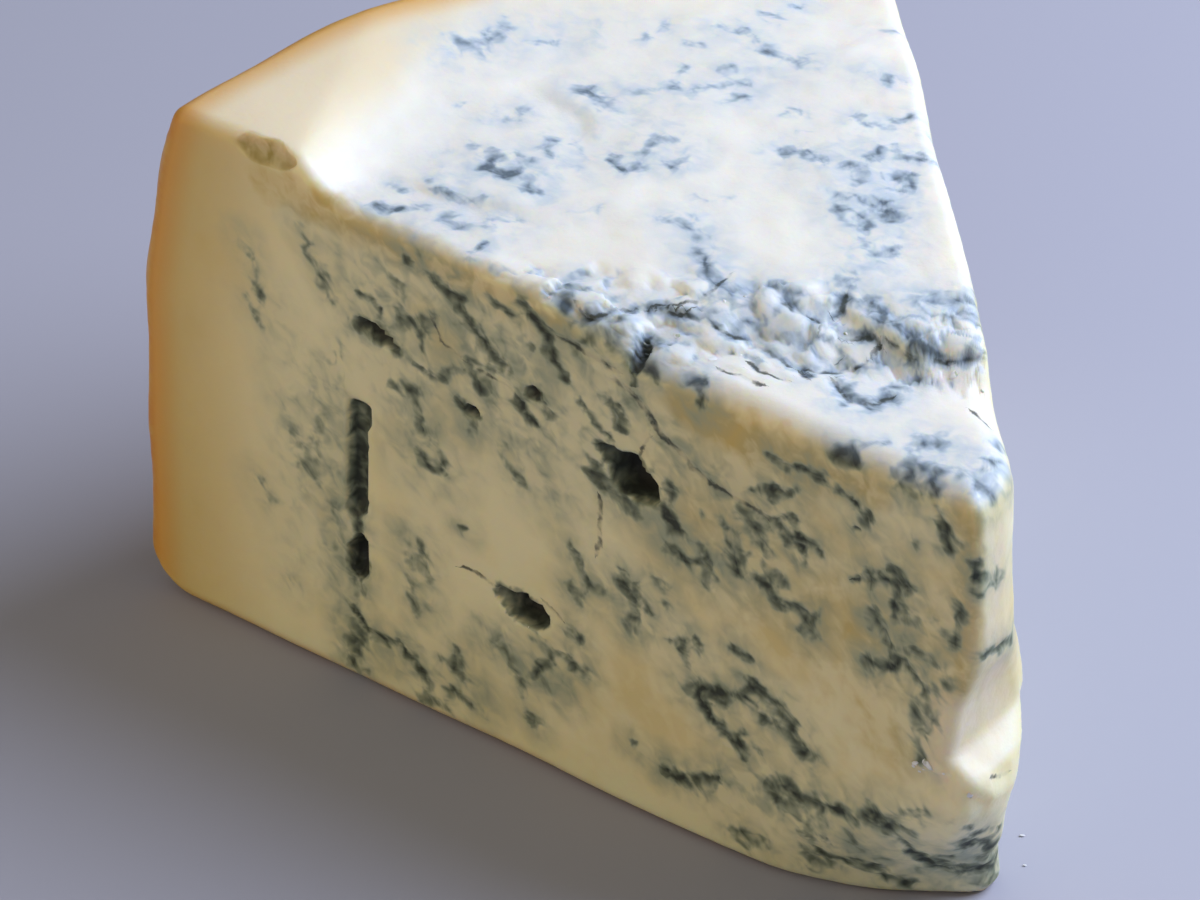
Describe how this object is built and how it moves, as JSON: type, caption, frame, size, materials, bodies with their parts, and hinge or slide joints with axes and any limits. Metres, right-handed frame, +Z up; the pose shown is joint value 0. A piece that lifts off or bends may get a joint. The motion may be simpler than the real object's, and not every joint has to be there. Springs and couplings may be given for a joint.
{
  "type": "gorgonzola cheese wedge",
  "caption": "Wedge of blue-veined soft cheese with a thin orange rind at its back, a torn top and a blunt tip, resting on its flat underside.",
  "frame": {"origin": "on the surface the wedge rests on, under the middle of its bounding box", "axes": "+Z up, +Y from the tip to the rind, +X to the right as seen from the tip"},
  "size_m": [0.1248, 0.1482, 0.0889],
  "materials": {
    "paste": "ivory soft cheese paste, moist, marbled with blue-green mould, with a tan to orange rind at the back"
  },
  "bodies": {
    "root": {"gorgonzola_wedge": "paste"}
  },
  "joints": []
}
